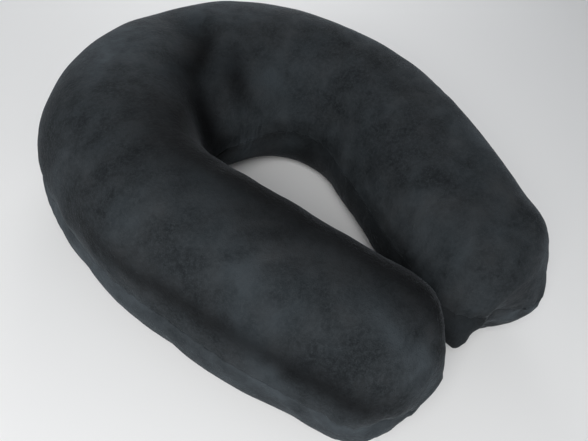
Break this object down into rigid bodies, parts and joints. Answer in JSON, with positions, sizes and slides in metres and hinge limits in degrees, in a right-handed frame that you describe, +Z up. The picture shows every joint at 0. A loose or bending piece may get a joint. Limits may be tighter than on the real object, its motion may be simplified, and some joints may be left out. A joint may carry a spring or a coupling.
{
  "type": "travel neck pillow",
  "caption": "U shaped memory foam neck pillow in a zipped dark velour cover, with arms that flex open, a zip slider that travels and a pull tab that swings.",
  "frame": {"origin": "on the surface the pillow lies on, under the middle of its bounding box", "axes": "+Z up; +Y towards the back of the U, behind the neck; the two arms point along -Y; +X is the wearer's left"},
  "size_m": [0.2528, 0.299, 0.094],
  "materials": {
    "velour": "charcoal microfibre velour, short nap with a pale sheen at grazing angles",
    "knit": "thin off-white stretch knit",
    "foam": "cream open-cell memory foam with a fine moulded skin",
    "zip_tape": "black woven polyester tape",
    "zip_teeth": "black nylon coil",
    "zip_metal": "dark lacquered zinc, worn at the edges",
    "label": "white satin ribbon, blank"
  },
  "bodies": {
    "back": {"cover_top_back": "velour", "cover_bottom_back": "velour", "liner_upper_back": "knit", "liner_lower_back": "knit", "foam_core_back": "foam", "zip_tape_upper": "zip_tape", "zip_tape_lower": "zip_tape", "zip_teeth_upper": "zip_teeth", "zip_teeth_lower": "zip_teeth", "zip_stop_left": "zip_metal", "zip_stop_right": "zip_metal", "care_label": "label"},
    "left_arm": {"cover_top_left_arm": "velour", "cover_bottom_left_arm": "velour", "liner_upper_left_arm": "knit", "liner_lower_left_arm": "knit", "foam_core_left_arm": "foam"},
    "right_arm": {"cover_top_right_arm": "velour", "cover_bottom_right_arm": "velour", "liner_upper_right_arm": "knit", "liner_lower_right_arm": "knit", "foam_core_right_arm": "foam"},
    "slider": {"zip_slider": "zip_metal"},
    "pull_tab": {"zip_pull_tab": "zip_metal"}
  },
  "joints": [
    {"name": "left_arm_bend", "type": "hinge", "parent": "back", "child": "left_arm", "pos_m": [0.11291, 0.07286, 0.04], "axis": [0, 0, 1], "range_deg": [0, 18], "stiffness_Nm_per_rad": 2},
    {"name": "right_arm_bend", "type": "hinge", "parent": "back", "child": "right_arm", "pos_m": [-0.11291, 0.07286, 0.04], "axis": [0, 0, -1], "range_deg": [0, 18], "stiffness_Nm_per_rad": 2},
    {"name": "slider_travel", "type": "hinge", "parent": "back", "child": "slider", "pos_m": [0, 0.03118, 0.04], "axis": [0, 0, 1], "range_deg": [0, 79]},
    {"name": "pull_tab_swing", "type": "hinge", "parent": "slider", "child": "pull_tab", "pos_m": [0.07896, 0.12303, 0.04], "axis": [0, 0, 1], "range_deg": [0, 165]}
  ]
}
